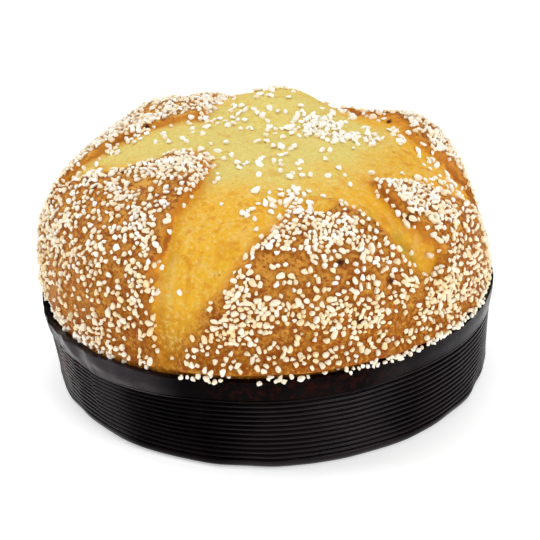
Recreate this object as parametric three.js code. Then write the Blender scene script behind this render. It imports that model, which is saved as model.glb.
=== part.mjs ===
// A round sweet brioche with a star-slashed, sugar-nibbed crust, baked in a low fluted paper case.
// Millimetres, +Z up. The origin is the centre of the case's underside, and -Y is the front.
import * as THREE from 'three';

// Paper case
const rimRadius = 105; // outside of the folded cuff at the top
const footRadius = 103; // outside of the wall, carried straight down to the table
const caseHeight = 46;
const ply = 0.6; // one thickness of paper
const clearance = 0.3; // between sheets, and between the loaf and its case
const fluteDepth = 0.8;
const flutePitch = 2.4;
const cuffHeight = 9.5;
const footCorner = 4; // radius where the wall turns under
const flangeInner = 88; // how far in the turned-under foot reaches
const turns = 64; // sides of every ring of the case

// Front left the case has slumped: its rim is down and out there, and its foot tucked in. The slump
// grows between two radii, starts above the foot, and has gone from the loaf this far over the rim.
const slump = {
  bearing: 208,
  spread: 50,
  drop: 3.4,
  out: 1.8,
  tuck: 1.4,
  inner: 30,
  outer: 90,
  foot: 8,
  fadesDown: 34,
  fadesOut: 12,
};

// Loaf
const domeRadius = 101; // of the open dough at the widest, just above the rim
const widestHeight = 57;
const loafHeight = 114; // table to dough at the crown, before its swelling
const domeSquareness = { across: 2.94, up: 2.8, under: 4 }; // superellipse exponents of the profile
const leanLeft = 0.8; // the crust has spread this far over the left of the rim
const flapLift = 3; // crust flaps stand this far above the open slashes
const lipLift = 0.9; // and curl up this much more along their edges
const stepHalfWidth = 4; // of the rise from the open dough onto a flap
const curlWidth = 5;
const slashSides = { low: -3, high: 7 }; // how far inside its edges a slash starts and ends its drop
const slashDeepens = { from: 45, to: 80 }; // distances between which it comes to its full depth
const waviness = { height: 0.8, x: 17, y: 14, z: 19 }; // of the whole crust, and its length each way
const mouthBlend = { plain: 8, front: 2.5 }; // height over the rim by which the relief is full
// At the front the crust bulges out over the rim of the case.
const overhang = { bearing: 288, spread: 56, out: 2.4, height: 50, depth: 3.2, start: 1.8 };
const dishCorner = 6; // round the foot of the loaf
const starCentre = { x: 18, y: -8.5, radius: 49 };
const loafSides = 84;
const loafRings = 34;

// Where the loaf has puffed up or sunk off its plain dome. A distance is measured from the crown
// along the crust, and a bearing in degrees round from +X.
const swells = [
  { distance: 43, bearing: 77, height: 8.1, spread: 24.4 }, // the highest of the crown
  { distance: 75.5, bearing: 47, height: -5.8, spread: 28 }, // back right
  { distance: 71.5, bearing: 133, height: 4.1, spread: 17.3 }, // back left
  { distance: 74.5, bearing: 17.5, height: 4.2, spread: 17 }, // the right shoulder
  { distance: 104.5, bearing: -1.4, height: -7.9, spread: 23.7 }, // the right side
];

// Each slash opened into a valley, sunk this far below the crown. Its stations are
// [distance, bearing, half width], and a negative half width closes the valley.
const slashes = [
  {
    sink: 0.6, // front left
    stations: [
      [40, 262, 20],
      [54, 261.5, 20.3],
      [72, 260.5, 23.5],
      [81, 257.2, 21],
      [91, 254, 18],
      [104, 251.8, 16.5],
      [117, 248.5, 12],
      [130, 246.3, 7.5],
      [146, 244.5, 0],
    ],
  },
  {
    sink: 0.3, // front
    stations: [[50, 287, 20], [66, 287, 16], [73, 288, 10], [79, 288, -5]],
  },
  {
    sink: 2.4, // front right
    stations: [
      [60, 303, 14],
      [73, 304, 10.5],
      [88, 307.5, 7.3],
      [98, 310, 7.5],
      [110, 312.2, 7.2],
      [116, 313, 3.5],
      [121, 313, -3],
    ],
  },
  {
    sink: 0.8, // right
    stations: [
      [60, 345, 28],
      [70, 338.5, 26],
      [77, 342, 20.5],
      [87, 347, 20],
      [94, 350, 20],
      [104, 354, 18.5],
      [112, 358, 16],
      [120, 361, 12],
      [128, 363, 4],
      [135, 364, -4],
    ],
  },
  {
    sink: 1, // back
    stations: [[50, 75, 38], [62, 75, 46], [75, 77, 38], [100, 82, 20], [125, 86, 10], [148, 88, -2]],
  },
  {
    sink: 1, // left
    stations: [
      [40, 181.5, 21.3],
      [46, 182.8, 20],
      [54, 186.4, 21],
      [61, 187.3, 19.5],
      [68, 187.6, 16.5],
      [75, 187.4, 13],
      [83, 187, 9.5],
      [91, 187, 6],
      [97, 187.5, 2.5],
      [103, 188, -4],
    ],
  },
];

// Sugar nibs
const nibCount = 54;
const nibSize = { least: 2.6, most: 3.9 };
const nibReach = { nearest: 40, furthest: 140 }; // distances from the crown between which they lie
const nibInset = 6; // least distance from a flap's edge

const materials = {
  crust: new THREE.MeshStandardMaterial({ color: 0xc98a35, roughness: 0.7, metalness: 0 }),
  paper: new THREE.MeshStandardMaterial({ color: 0x1d1614, roughness: 0.45, metalness: 0 }),
  base: new THREE.MeshStandardMaterial({ color: 0x2a1d18, roughness: 0.6, metalness: 0 }),
  sugar: new THREE.MeshStandardMaterial({ color: 0xf6efe0, roughness: 0.4, metalness: 0 }),
};

const radians = THREE.MathUtils.degToRad;
const smoothstep = (x, low, high) => THREE.MathUtils.smoothstep(x, low, high);
const hump = (x, width) => Math.exp(-((x / width) ** 2));

// Degrees round from one bearing to another, -180 to 180.
function turnFrom(bearing, middle) {
  return THREE.MathUtils.euclideanModulo(bearing - middle + 180, 360) - 180;
}

// The wall's outer face leans out from foot to rim.
function wallRadius(z) {
  return THREE.MathUtils.lerp(footRadius, rimRadius, z / caseHeight);
}

// Radii of the sheets at height z, from the outside in.
function crestRadius(z) {
  return wallRadius(z) - ply - clearance;
}

function flutedBackRadius(z) {
  return crestRadius(z) - fluteDepth - ply;
}

function linerRadius(z) {
  return flutedBackRadius(z) - clearance;
}

function loafRadius(z) {
  return linerRadius(z) - ply - clearance;
}

// Moves a point of the round object to where it lies on the slumped one.
function slumped(point) {
  const bearing = THREE.MathUtils.radToDeg(Math.atan2(point.y, point.x));
  const radius = Math.hypot(point.x, point.y);
  const { spread, inner, outer, foot, fadesDown, fadesOut } = slump;
  const amount = hump(turnFrom(bearing, slump.bearing), spread) * smoothstep(radius, inner, outer);
  const above = point.z - caseHeight;
  const down = slump.drop * smoothstep(point.z, foot, caseHeight) * (1 - smoothstep(above, 0, fadesDown));
  const lean = THREE.MathUtils.lerp(-slump.tuck, slump.out, Math.min(point.z / caseHeight, 1));
  const out = lean * (1 - smoothstep(above, 0, fadesOut));
  const scale = 1 + (amount * out) / Math.max(radius, 1);
  return point.set(point.x * scale, point.y * scale, point.z - amount * down);
}

// A ring or disc turned about +Z from an outline of [radius, z] pairs.
function turned(outline, sides = turns) {
  const points = outline.map(([radius, z]) => new THREE.Vector2(radius, z));
  return new THREE.LatheGeometry(points, sides).rotateX(Math.PI / 2);
}

function arc(centreR, centreZ, radius, fromDeg, toDeg, steps) {
  return Array.from({ length: steps + 1 }, (_, i) => {
    const angle = radians(THREE.MathUtils.lerp(fromDeg, toDeg, i / steps));
    return [centreR + radius * Math.cos(angle), centreZ + radius * Math.sin(angle)];
  });
}

function slumpAll(geometry) {
  const place = geometry.getAttribute('position');
  const point = new THREE.Vector3();
  for (let i = 0; i < place.count; i++) {
    slumped(point.fromBufferAttribute(place, i));
    place.setXYZ(i, point.x, point.y, point.z);
  }
  return geometry;
}

function namedMesh(name, geometry, material) {
  const mesh = new THREE.Mesh(geometry, material);
  mesh.name = name;
  return mesh;
}

// Case ------------------------------------------------------------------------------------

// The fluted sheet outside: horizontal flutes, and a foot turned under as a flat flange.
function flutedWall() {
  const top = caseHeight - ply - clearance;
  const flutes = [];
  const halves = Math.floor((top - footCorner) / (flutePitch / 2));
  for (let i = 0; i <= halves; i++) {
    const z = footCorner + (i * flutePitch) / 2;
    flutes.push([crestRadius(z) - (i % 2 ? fluteDepth : 0), z]);
  }
  const cornerR = crestRadius(footCorner) - footCorner;
  const backCornerR = flutedBackRadius(footCorner) - (footCorner - ply);
  const outline = [
    [flangeInner, 0],
    ...arc(cornerR, footCorner, footCorner, -90, -15, 4),
    ...flutes,
    [flutedBackRadius(flutes.at(-1)[1]), flutes.at(-1)[1]],
    ...arc(backCornerR, footCorner, footCorner - ply, 0, -90, 3),
    [flangeInner, ply],
    [flangeInner, 0],
  ];
  return turned(outline);
}

// The smooth sheet inside, folded outwards over the flutes as a plain cuff.
function linerWithCuff() {
  const foot = footCorner;
  const inner = (z) => linerRadius(z) - ply;
  const cuffFoot = caseHeight - cuffHeight;
  const outline = [
    [inner(foot), foot],
    [linerRadius(foot), foot],
    [linerRadius(caseHeight - ply), caseHeight - ply],
    [wallRadius(caseHeight - ply) - ply, caseHeight - ply],
    [wallRadius(cuffFoot) - ply, cuffFoot],
    [wallRadius(cuffFoot), cuffFoot],
    [wallRadius(caseHeight - ply), caseHeight - ply],
    [wallRadius(caseHeight) - ply, caseHeight],
    [inner(caseHeight) + ply, caseHeight],
    [inner(caseHeight), caseHeight - ply],
    [inner(foot), foot],
  ];
  return turned(outline);
}

// The base disc: its middle is pressed down flush with the flange that its edge is glued to.
function pressedBase() {
  const stepUp = ply + clearance;
  const edge = flutedBackRadius(footCorner) - footCorner;
  const dish = flangeInner - clearance - 2;
  const outline = [
    [0, 0],
    [dish, 0],
    [dish + 1.6, stepUp],
    [edge, stepUp],
    [edge, stepUp + ply],
    [dish + 1.2, stepUp + ply],
    [dish - 0.4, ply],
    [0, ply],
  ];
  return turned(outline);
}

// Loaf ------------------------------------------------------------------------------------

// The crust's profile from the crown down to where it enters the case, as [radius, z] pairs.
const domeSteps = 400;
const mouthHeight = caseHeight + clearance;
const domeProfile = Array.from({ length: domeSteps + 1 }, (_, i) => {
  const { across, up, under } = domeSquareness;
  const turn = (i / domeSteps) * 140; // degrees down the side: 90 is the widest
  if (turn <= 90) {
    const r = domeRadius * Math.sin(radians(turn)) ** (2 / across);
    return [r, widestHeight + (loafHeight - widestHeight) * Math.cos(radians(turn)) ** (2 / up)];
  }
  const below = radians(((turn - 90) / 50) * 90);
  const mouthRadius = loafRadius(caseHeight);
  const r = mouthRadius + (domeRadius - mouthRadius) * Math.abs(Math.cos(below)) ** (2 / under);
  return [r, widestHeight - (widestHeight - mouthHeight) * Math.sin(below) ** (2 / under)];
});
const domeDistance = [0];
for (let i = 1; i <= domeSteps; i++) {
  const [r0, z0] = domeProfile[i - 1];
  const [r1, z1] = domeProfile[i];
  domeDistance.push(domeDistance[i - 1] + Math.hypot(r1 - r0, z1 - z0));
}
const mouthDistance = domeDistance.at(-1);

// Radius, height and outward normal of the profile at a distance from the crown.
function profileAt(distance) {
  let i = domeDistance.findIndex((d) => d >= distance);
  i = THREE.MathUtils.clamp(i, 1, domeSteps);
  const [r0, z0] = domeProfile[i - 1];
  const [r1, z1] = domeProfile[i];
  const share = (distance - domeDistance[i - 1]) / (domeDistance[i] - domeDistance[i - 1]);
  const length = Math.hypot(r1 - r0, z1 - z0);
  return {
    r: Math.max(THREE.MathUtils.lerp(r0, r1, share), 0),
    z: THREE.MathUtils.lerp(z0, z1, share),
    normalR: (z0 - z1) / length,
    normalZ: (r1 - r0) / length,
  };
}

// A slash's bearing and half width at a distance from the crown.
function slashAt(slash, distance) {
  const { stations } = slash;
  let i = stations.findIndex((station) => station[0] >= distance);
  if (i === -1) i = stations.length - 1;
  if (i === 0) return { bearing: stations[0][1], halfWidth: stations[0][2] };
  const [from, to] = [stations[i - 1], stations[i]];
  const share = THREE.MathUtils.clamp((distance - from[0]) / (to[0] - from[0]), 0, 1);
  return {
    bearing: THREE.MathUtils.lerp(from[1], to[1], share),
    halfWidth: THREE.MathUtils.lerp(from[2], to[2], share),
  };
}

// How far a crust point is outside a slash, measured round the loaf: negative is inside it.
function outsideSlash(slash, distance, bearing, r) {
  const at = slashAt(slash, distance);
  return r * Math.abs(radians(turnFrom(bearing, at.bearing))) - at.halfWidth;
}

// The distance to the nearest flap edge: positive on a flap, negative in the open star.
function ontoFlap(distance, bearing, r) {
  const x = r * Math.cos(radians(bearing));
  const y = r * Math.sin(radians(bearing));
  const fromStar = Math.hypot(x - starCentre.x, y - starCentre.y) - starCentre.radius;
  return Math.min(fromStar, ...slashes.map((slash) => outsideSlash(slash, distance, bearing, r)));
}

// A point of the plain profile, before any relief.
function plainPoint(profile, bearing) {
  const { r, z } = profile;
  return new THREE.Vector3(r * Math.cos(radians(bearing)), r * Math.sin(radians(bearing)), z);
}

const swellCentres = swells.map((swell) => plainPoint(profileAt(swell.distance), swell.bearing));

// How far the real crust stands off the plain profile.
function relief(distance, bearing, profile) {
  const point = plainPoint(profile, bearing);
  const { x, y, z } = point;
  const onto = ontoFlap(distance, bearing, profile.r);
  let height = flapLift * smoothstep(onto, -stepHalfWidth, stepHalfWidth);
  height += lipLift * hump(onto - stepHalfWidth, curlWidth);
  for (const slash of slashes) {
    const within = -outsideSlash(slash, distance, bearing, profile.r);
    const deep = smoothstep(distance, slashDeepens.from, slashDeepens.to);
    height -= slash.sink * smoothstep(within, slashSides.low, slashSides.high) * deep;
  }
  swells.forEach((swell, i) => {
    height += swell.height * hump(point.distanceTo(swellCentres[i]), swell.spread);
  });
  const wave = Math.sin(x / waviness.x + 1) * Math.sin(y / waviness.y) * Math.sin(z / waviness.z);
  height += waviness.height * wave;
  const over = hump(turnFrom(bearing, overhang.bearing), overhang.spread);
  const above = z - mouthHeight;
  const full = THREE.MathUtils.lerp(mouthBlend.plain, mouthBlend.front, over);
  const brim = smoothstep(above, 0, overhang.start) * hump(z - overhang.height, overhang.depth);
  height *= smoothstep(above, 0, full);
  return height + overhang.out * over * brim;
}

// A point of the crust, at a distance from the crown and a bearing from +X.
function crustPoint(distance, bearing) {
  const profile = profileAt(distance);
  const height = relief(distance, bearing, profile);
  const r = profile.r + profile.normalR * height;
  const spread = leanLeft * smoothstep(profile.z, mouthHeight, widestHeight);
  const x = r * Math.cos(radians(bearing)) - spread;
  const y = r * Math.sin(radians(bearing));
  return slumped(new THREE.Vector3(x, y, profile.z + profile.normalZ * height));
}

function crustNormal(distance, bearing) {
  const reach = 1.5; // far enough to bridge the facets
  const { r } = profileAt(distance);
  const degrees = THREE.MathUtils.radToDeg(reach / r);
  const down = crustPoint(distance + reach, bearing).sub(crustPoint(distance - reach, bearing));
  const round = crustPoint(distance, bearing + degrees).sub(crustPoint(distance, bearing - degrees));
  return down.cross(round).normalize();
}

// One solid: the crust above the rim, and the side and underside that the case shaped.
function loaf() {
  const floor = 2 * (ply + clearance) + clearance;
  const cornerR = loafRadius(dishCorner) - dishCorner;
  const dish = flangeInner - clearance - 5;
  const side = [
    [loafRadius(caseHeight * 0.6), caseHeight * 0.6],
    ...arc(cornerR, floor + dishCorner, dishCorner, 0, -90, 3),
    [dish + 1, floor],
    [dish, ply + clearance],
    [0, ply + clearance],
  ].reverse();
  const distances = Array.from({ length: loafRings + 1 }, (_, i) => mouthDistance * (1 - i / loafRings));
  const outline = [...side, ...distances.map((d) => [profileAt(d).r, profileAt(d).z])];
  const geometry = turned(outline, loafSides);
  const sidePoint = new THREE.Vector3();
  const place = geometry.getAttribute('position');
  for (let i = 0; i < place.count; i++) {
    const ring = (i % outline.length) - side.length;
    if (ring < 0) {
      slumped(sidePoint.fromBufferAttribute(place, i));
      place.setXYZ(i, sidePoint.x, sidePoint.y, sidePoint.z);
      continue;
    }
    const bearing = THREE.MathUtils.radToDeg(Math.atan2(place.getY(i), place.getX(i)));
    const point = crustPoint(distances[ring], ring === loafRings ? 0 : bearing);
    place.setXYZ(i, point.x, point.y, point.z);
  }
  return geometry;
}

// Sugar nibs ------------------------------------------------------------------------------

// The same pseudo-random share, 0 to 1, for the same whole number.
function share(seed) {
  const wave = Math.sin(seed * 12.9898) * 43758.5453;
  return wave - Math.floor(wave);
}

// An angular grain: an icosahedron stretched along each axis, with every corner moved a little.
function nibGeometry(seed) {
  const size = THREE.MathUtils.lerp(nibSize.least, nibSize.most, share(seed));
  const geometry = new THREE.IcosahedronGeometry(size / 2, 0);
  const place = geometry.getAttribute('position');
  const corner = new THREE.Vector3();
  for (let i = 0; i < place.count; i++) {
    corner.fromBufferAttribute(place, i);
    const key = Math.round(corner.x * 7.3 + corner.y * 13.7 + corner.z * 29.1);
    corner.multiplyScalar(0.86 + 0.28 * share(key + seed));
    place.setXYZ(i, corner.x * 1.15, corner.y * 0.9, corner.z * 0.75);
  }
  geometry.computeBoundingBox();
  return geometry.translate(0, 0, clearance - geometry.boundingBox.min.z);
}

// Nibs spiral out from the crown by the golden angle, and only those well on a flap are kept.
function nibs() {
  const golden = 137.508;
  const placed = [];
  for (let step = 0; placed.length < nibCount; step++) {
    const along = Math.sqrt((step + 0.5) / (nibCount * 1.9));
    const distance = THREE.MathUtils.lerp(nibReach.nearest, nibReach.furthest, along % 1);
    const bearing = step * golden;
    if (ontoFlap(distance, bearing, profileAt(distance).r) < nibInset) continue;
    const name = `sugar_nib_${String(placed.length + 1).padStart(2, '0')}`;
    const nib = namedMesh(name, nibGeometry(step + 1), materials.sugar);
    nib.position.copy(crustPoint(distance, bearing));
    const up = new THREE.Vector3(0, 0, 1);
    nib.quaternion.setFromUnitVectors(up, crustNormal(distance, bearing));
    nib.rotateZ(share(step + 500) * Math.PI * 2);
    placed.push(nib);
  }
  return placed;
}

const brioche = new THREE.Group();
brioche.add(
  namedMesh('loaf', loaf(), materials.crust),
  namedMesh('case_fluted_wall', slumpAll(flutedWall()), materials.paper),
  namedMesh('case_liner', slumpAll(linerWithCuff()), materials.paper),
  namedMesh('case_base', slumpAll(pressedBase()), materials.base),
  ...nibs(),
);

export default brioche;
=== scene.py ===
import bmesh
import bpy
import math
import numpy as np
from mathutils import Matrix, Vector
from mathutils.kdtree import KDTree


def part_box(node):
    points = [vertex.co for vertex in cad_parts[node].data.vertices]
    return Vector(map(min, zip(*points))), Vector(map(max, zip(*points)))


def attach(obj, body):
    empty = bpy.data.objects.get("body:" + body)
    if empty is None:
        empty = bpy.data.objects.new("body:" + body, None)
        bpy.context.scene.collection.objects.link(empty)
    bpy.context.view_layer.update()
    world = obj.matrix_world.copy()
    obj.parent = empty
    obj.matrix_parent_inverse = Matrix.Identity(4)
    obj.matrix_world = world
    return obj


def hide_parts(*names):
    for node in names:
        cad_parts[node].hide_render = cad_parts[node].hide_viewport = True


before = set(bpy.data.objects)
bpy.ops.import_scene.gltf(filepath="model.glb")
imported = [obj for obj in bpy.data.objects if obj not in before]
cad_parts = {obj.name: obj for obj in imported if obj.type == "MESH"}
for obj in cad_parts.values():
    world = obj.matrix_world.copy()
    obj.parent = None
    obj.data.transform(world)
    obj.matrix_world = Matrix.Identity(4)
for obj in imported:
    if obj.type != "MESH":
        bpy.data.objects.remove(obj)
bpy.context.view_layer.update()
print("frame loaded:", len(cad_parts), "nodes")

# Shapes are worked out in millimetres, and turned into metres as each mesh is made.
mm = 0.001


def fade(x, low, high):  # 0 below low, 1 above high, smooth between
    t = np.clip((x - low) / (high - low), 0, 1)
    return t * t * (3 - 2 * t)


def mix(a, b, share):
    return a + (b - a) * share


def hump(x, width):
    return np.exp(-(x / width) ** 2)


def turnFrom(bearing, middle):  # degrees round from middle, -180 to 180
    return np.mod(bearing - middle + 180, 360) - 180


def cornerValue(cell, seed):  # the same random number, -1 to 1, at the same whole-number corner
    n = cell[..., 0] * 374761393 + cell[..., 1] * 668265263 + cell[..., 2] * 1440662683
    n = (n + seed * 974634777) & 0xFFFFFFFF
    n = ((n ^ (n >> 15)) * 739198277) & 0xFFFFFFFF
    n = ((n ^ (n >> 13)) * 461845907) & 0xFFFFFFFF
    return (n ^ (n >> 16)) / 0x7FFFFFFF - 1


def lumps(points, size, seed):  # smooth random lumps about that size across
    place = points / size
    cell = np.floor(place).astype(np.int64)
    part = place - cell
    part = part * part * (3 - 2 * part)
    total = np.zeros(points.shape[:-1])
    for corner in np.ndindex(2, 2, 2):
        share = np.prod(np.where(corner, part, 1 - part), axis=-1)
        total += share * cornerValue(cell + np.array(corner), seed)
    return total


def roughLumps(points, size, seed, layers=3):
    return sum(lumps(points, size / 2 ** i, seed + i) / 2 ** i for i in range(layers))


def onTurn(radius, bearing, z):  # points from radius, bearing in degrees and height
    angle = np.radians(bearing)
    return np.stack([radius * np.cos(angle), radius * np.sin(angle), z + 0 * angle], axis=-1)


def newPiece(name, points, faces, material, smooth=True):
    mesh = bpy.data.meshes.new(name)
    mesh.from_pydata((points * mm).tolist(), [], faces)
    mesh.polygons.foreach_set("use_smooth", [smooth] * len(mesh.polygons))
    mesh.materials.append(material)
    mesh.update()
    piece = bpy.data.objects.new(name, mesh)
    bpy.context.scene.collection.objects.link(piece)
    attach(piece, "root")
    return piece


def keepMask(piece, name, values):  # a number at each point, for the material to read
    layer = piece.data.attributes.new(name, "FLOAT", "POINT")
    layer.data.foreach_set("value", np.asarray(values, dtype=np.float32).ravel())


def ringFaces(rows, sides, closed):  # quads between rows of points, each row a ring
    faces = []
    for row in range(rows if closed else rows - 1):
        here = row * sides
        there = (row + 1) % rows * sides
        for i in range(sides):
            j = (i + 1) % sides
            faces.append((here + i, here + j, there + j, there + i))
    return faces


def newMaterial(name):
    material = bpy.data.materials.new(name)
    material.use_nodes = True
    tree = material.node_tree
    tree.nodes.clear()
    shell = tree.nodes.new("ShaderNodeBsdfPrincipled")
    out = tree.nodes.new("ShaderNodeOutputMaterial")
    tree.links.new(shell.outputs[0], out.inputs[0])
    return material, tree, shell


def fromScreen(text):  # a colour as mixed on screen, "e5ae3b", to the linear one
    parts = [int(text[i:i + 2], 16) / 255 for i in (0, 2, 4)]
    return tuple(p / 12.92 if p <= 0.04045 else ((p + 0.055) / 1.055) ** 2.4 for p in parts)


def join(tree, source, target):  # a number or colour sets a socket, anything else is linked to it
    if isinstance(source, (int, float)):
        target.default_value = source
    elif isinstance(source, str):
        target.default_value = (*fromScreen(source), 1)
    elif isinstance(source, tuple):
        target.default_value = (*source, 1) if target.type == "RGBA" else source
    else:
        tree.links.new(source, target)


def setSockets(tree, node, sockets):
    for name, source in sockets.items():
        join(tree, source, node.inputs[name])


def addNode(tree, kind, sockets, **settings):
    node = tree.nodes.new("ShaderNode" + kind)
    for name, value in settings.items():
        setattr(node, name, value)
    setSockets(tree, node, sockets)
    return node


def mask(tree, name):
    return addNode(tree, "Attribute", {}, attribute_name=name).outputs["Fac"]


def combine(tree, kind, a, b):
    return addNode(tree, "Math", {0: a, 1: b}, operation=kind).outputs[0]


def times(tree, a, b):
    return combine(tree, "MULTIPLY", a, b)


def plus(tree, a, b):
    return combine(tree, "ADD", a, b)


def between(tree, value, low, high, toLow=0, toHigh=1):
    sockets = {"Value": value, "From Min": low, "From Max": high, "To Min": toLow, "To Max": toHigh}
    return addNode(tree, "MapRange", sockets, interpolation_type="SMOOTHSTEP").outputs["Result"]


def blend(tree, share, a, b):
    return addNode(tree, "Mix", {0: share, 6: a, 7: b}, data_type="RGBA").outputs[2]


def grainNode(tree, size, detail=3, roughness=0.55, seed=0, stretch=(1, 1, 1)):  # size in mm
    where = addNode(tree, "TexCoord", {}).outputs["Object"]
    if seed:
        away = (seed, seed * 0.7, seed * 1.3)
        move = addNode(tree, "Mapping", {"Vector": where, "Location": away, "Scale": stretch})
        where = move.outputs["Vector"]
    sockets = {"Vector": where, "Scale": 1 / (size * mm), "Detail": detail, "Roughness": roughness}
    return addNode(tree, "TexNoise", sockets).outputs["Fac"]


def finishShell(tree, shell, looks, height, depth):  # the shell's sockets, and a bump, depth in mm
    bump = addNode(tree, "Bump", {"Strength": 1, "Distance": depth * mm, "Height": height})
    setSockets(tree, shell, {**looks, "Normal": bump.outputs[0]})


case = {
    "rimRadius": 105,
    "footRadius": 103,
    "height": 46,
    "ply": 0.6,
    "clearance": 0.3,
    "fluteDepth": 0.8,
    "flutePitch": 2.4,
    "cuffHeight": 9.5,
    "footCorner": 4,
    "flangeInner": 88,
    "sides": 420,
    "flutePoints": 10,  # round each flute
    "hiddenRows": (44, 39, 34, 24, 14),  # heights of the points inside the wall
    "seamBearing": 221,
    "seamStep": 0.5,
    "crumple": 0.35,
    "crumpleSize": 26,
    "puff": 1.3,  # the cuff stands off beside the seam
    "puffHeight": 38,
    "folds": 2,  # and is creased
    "foldsAt": 216,
    "foldsSpread": 20,
    "dent": 1.2,  # how far the wall is pushed in
    "dentBearing": 209,
    "dentHeight": 28,
    "flattened": 0.8,  # how flat the flutes are crushed
    "flattenedAt": 203,
    "flattenedSpread": 8,
    "backGroove": 0.4,  # how far down a flute the plain faces count as
    "rimWander": 0.5,
    "footWander": 0.7,
}
slump = {
    "bearing": 208,
    "spread": 50,
    "drop": 3.4,
    "out": 1.8,
    "tuck": 1.4,
    "dropReach": 34,  # how far over the rim the loaf follows it down
    "leanReach": 12,  # and out
}


def wallRadius(z):
    return case["footRadius"] + (case["rimRadius"] - case["footRadius"]) * z / case["height"]


def crestRadius(z):
    return wallRadius(z) - case["ply"] - case["clearance"]


def flutedBackRadius(z):
    return crestRadius(z) - case["fluteDepth"] - case["ply"]


def linerRadius(z):
    return flutedBackRadius(z) - case["clearance"]


def loafRadius(z):
    return linerRadius(z) - case["ply"] - case["clearance"]


def slumped(points):  # the front left of the rim has sunk and leans out
    x, y, z = points[..., 0], points[..., 1], points[..., 2]
    radius = np.hypot(x, y)
    away = turnFrom(np.degrees(np.arctan2(y, x)), slump["bearing"])
    amount = hump(away, slump["spread"]) * fade(radius, 30, 90)
    above = z - case["height"]
    down = slump["drop"] * fade(z, 8, case["height"]) * (1 - fade(above, 0, slump["dropReach"]))
    lean = mix(-slump["tuck"], slump["out"], np.minimum(z / case["height"], 1))
    lean = lean * (1 - fade(above, 0, slump["leanReach"]))
    scale = 1 + amount * lean / np.maximum(radius, 1)
    return np.stack([x * scale, y * scale, z - amount * down], axis=-1)


def crumpled(points):  # small dents in the paper, and the step of the lap seam
    x, y, z = points[..., 0], points[..., 1], points[..., 2]
    radius = np.hypot(x, y)
    bearing = np.degrees(np.arctan2(y, x))
    loose = fade(z, 2, 20) * fade(radius, 80, 98)
    flatWay = np.stack([x, y, z * 0.7], axis=-1)
    move = case["crumple"] * roughLumps(flatWay, case["crumpleSize"], 60)
    dented = hump(turnFrom(bearing, case["dentBearing"]), 9) * hump(z - case["dentHeight"], 16)
    move = move - case["dent"] * dented * np.abs(roughLumps(flatWay, 9, 64, 2))
    past = turnFrom(bearing, case["seamBearing"])
    move = move + case["seamStep"] * fade(past, -0.5, 0.3) * (1 - fade(past, 4, 22))
    roll = fade(past, -1, 2.5) * (1 - fade(past, 16, 30)) * hump(z - case["puffHeight"], 4.5)
    move = move + case["puff"] * roll
    folds = hump(turnFrom(bearing, case["foldsAt"]), case["foldsSpread"]) * fade(z, 33, 37)
    move = move + case["folds"] * folds * roughLumps(flatWay, 10, 66, 2)
    scale = 1 + loose * move / np.maximum(radius, 1)
    foot = fade(radius, 96, 102) * (1 - fade(z, 4, 14))
    scale = scale + case["footWander"] * foot * lumps(flatWay, 13, 80) / np.maximum(radius, 1)
    rise = case["rimWander"] * roughLumps(flatWay, 30, 70, 2)
    rise = loose * (rise + 0.8 * folds * lumps(flatWay, 6, 72))
    return np.stack([x * scale, y * scale, z + rise], axis=-1)


dough = {
    "radius": 101,
    "widestHeight": 57,
    "height": 114,
    "across": 2.94,  # squareness of the dome's profile, as superellipse exponents
    "up": 2.8,
    "under": 4,
    "leanLeft": 0.8,
    "flapLift": 3,
    "lipLift": 1,  # a sharp flap curls up
    "lipBack": 2.6,  # this far back from its edge
    "ragged": 1.5,  # how far the flaps' edges wander
    "waviness": 0.8,
    "blister": 0.3,
    "streak": 0.16,
    "dimple": 0.7,
    "uneven": 0.5,
    "overBearing": 288,  # where it bulges over the rim
    "overSpread": 56,
    "overOut": 2.4,
    "overHeight": 50,
    "dishCorner": 6,
    "slack": 0.4,  # between the hidden side of the loaf and its snug fit
    "rings": 160,
    "sides": 540,
}
# distance from the crown along the crust, bearing, height, spread
swells = [
    (43, 77, 8.1, 24.4),
    (75.5, 47, -5.8, 28),
    (71.5, 133, 4.1, 17.3),
    (74.5, 17.5, 4.2, 17),
    (104.5, -1.4, -7.9, 23.7),
]
# each opened slash: how far it has sunk, how soft its edges are on the low-bearing and the
# high-bearing side, and its half width and bearing at some distances from the crown
slashes = [
    {
        "sunk": 0.6, "soft": (1.8, 6),
        "distance": (40, 54, 72, 81, 91, 104, 117, 130, 146),
        "bearing": (262, 261.5, 260.5, 257.2, 254, 251.8, 248.5, 246.3, 244.5),
        "half": (20, 20.3, 23.5, 21, 18, 16.5, 12, 7.5, 0),
    },
    {
        "sunk": 0.3, "soft": (4, 4),
        "distance": (50, 66, 73, 79),
        "bearing": (287, 287, 288, 288),
        "half": (20, 16, 10, -5),
    },
    {
        "sunk": 2.4, "soft": (3, 1.8),
        "distance": (60, 73, 88, 98, 110, 116, 121),
        "bearing": (303, 304, 307.5, 310, 312.2, 313, 313),
        "half": (14, 10.5, 7.3, 7.5, 7.2, 3.5, -3),
    },
    {
        "sunk": 0.8, "soft": (3.5, 2),
        "distance": (60, 70, 77, 87, 94, 104, 112, 120, 128, 135),
        "bearing": (345, 338.5, 342, 347, 350, 354, 358, 361, 363, 364),
        "half": (28, 26, 20.5, 20, 20, 18.5, 16, 12, 4, -4),
    },
    {
        "sunk": 1, "soft": (2, 2),
        "distance": (50, 62, 75, 100, 125, 148),
        "bearing": (75, 75, 77, 82, 86, 88),
        "half": (38, 46, 38, 20, 10, -2),
    },
    {
        "sunk": 1, "soft": (1.6, 2),
        "distance": (40, 46, 54, 61, 68, 75, 83, 91, 97, 103),
        "bearing": (181.5, 182.8, 186.4, 187.3, 187.6, 187.4, 187, 187, 187.5, 188),
        "half": (21.3, 20, 21, 19.5, 16.5, 13, 9.5, 6, 2.5, -4),
    },
]
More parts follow.
